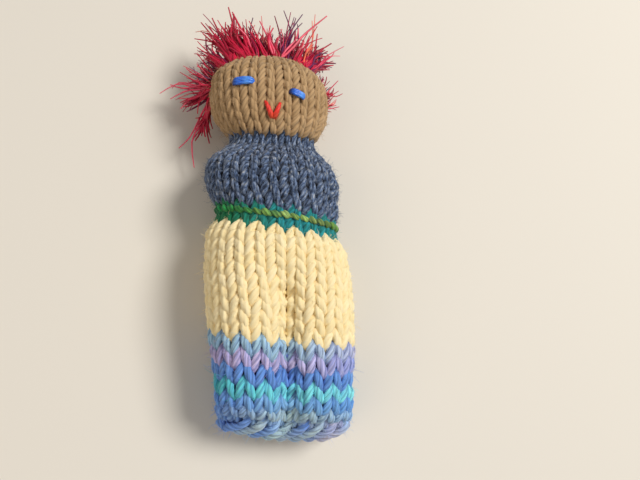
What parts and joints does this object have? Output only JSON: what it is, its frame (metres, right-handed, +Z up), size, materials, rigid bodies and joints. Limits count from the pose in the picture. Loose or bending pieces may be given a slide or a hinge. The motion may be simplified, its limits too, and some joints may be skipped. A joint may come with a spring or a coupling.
{
  "type": "knitted doll",
  "caption": "Small hand-knitted stuffed doll with a denim jumper, cream trousers, blue boots and bright eyelash-yarn hair, lying on its back.",
  "frame": {"origin": "middle of the flat of the doll's back, on the surface that it lies on", "axes": "+X to the doll's left, +Y from the sole to the crown, +Z up out of the doll's front"},
  "size_m": [0.0605, 0.1416, 0.033],
  "materials": {
    "boot_wool": "matt",
    "cream_wool": "matt",
    "belt_wool": "matt",
    "denim_wool": "matt",
    "tan_wool": "matt",
    "stuffing": "matt",
    "eye_thread": "satin",
    "mouth_thread": "satin",
    "eyelash_yarn": "satin"
  },
  "bodies": {
    "torso": {"boot_cover": "boot_wool", "trouser_cover": "cream_wool", "belt_band": "belt_wool", "jumper_cover": "denim_wool", "jumper_gathered_rows": "denim_wool", "body_filling": "stuffing", "left_leg_filling": "stuffing", "right_leg_filling": "stuffing", "leg_division_stitching": "cream_wool", "sole_seam_yarn": "boot_wool", "jumper_back_seam": "denim_wool"},
    "neck_core": {"neck_filling": "stuffing"},
    "neck_tie": {"neck_drawstring": "denim_wool"},
    "head": {"chin_gathered_rows": "tan_wool", "head_cover": "tan_wool", "head_filling": "stuffing", "head_back_seam": "tan_wool", "crown_gathering_thread": "tan_wool", "left_eye_stitches": "eye_thread", "right_eye_stitches": "eye_thread", "mouth_stitches": "mouth_thread", "hair_crown_front": "eyelash_yarn", "hair_crown_back": "eyelash_yarn", "hair_left_side": "eyelash_yarn", "hair_right_side": "eyelash_yarn", "hair_right_lock": "eyelash_yarn"}
  },
  "joints": [
    {"name": "neck_turn", "type": "hinge", "parent": "torso", "child": "neck_core", "pos_m": [0, 0.038, 0.0139], "axis": [0, 1, 0], "range_deg": [-25, 25], "stiffness_Nm_per_rad": 0.03, "deforming": ["jumper_gathered_rows", "neck_filling"]},
    {"name": "neck_tilt", "type": "hinge", "parent": "neck_core", "child": "neck_tie", "pos_m": [0, 0.038, 0.0139], "axis": [0, 0, 1], "range_deg": [-10, 10], "stiffness_Nm_per_rad": 0.03, "deforming": ["neck_filling"]},
    {"name": "neck_nod", "type": "hinge", "parent": "neck_tie", "child": "head", "pos_m": [0, 0.038, 0.0139], "axis": [1, 0, 0], "range_deg": [-10, 12], "stiffness_Nm_per_rad": 0.03, "deforming": ["chin_gathered_rows"]}
  ]
}
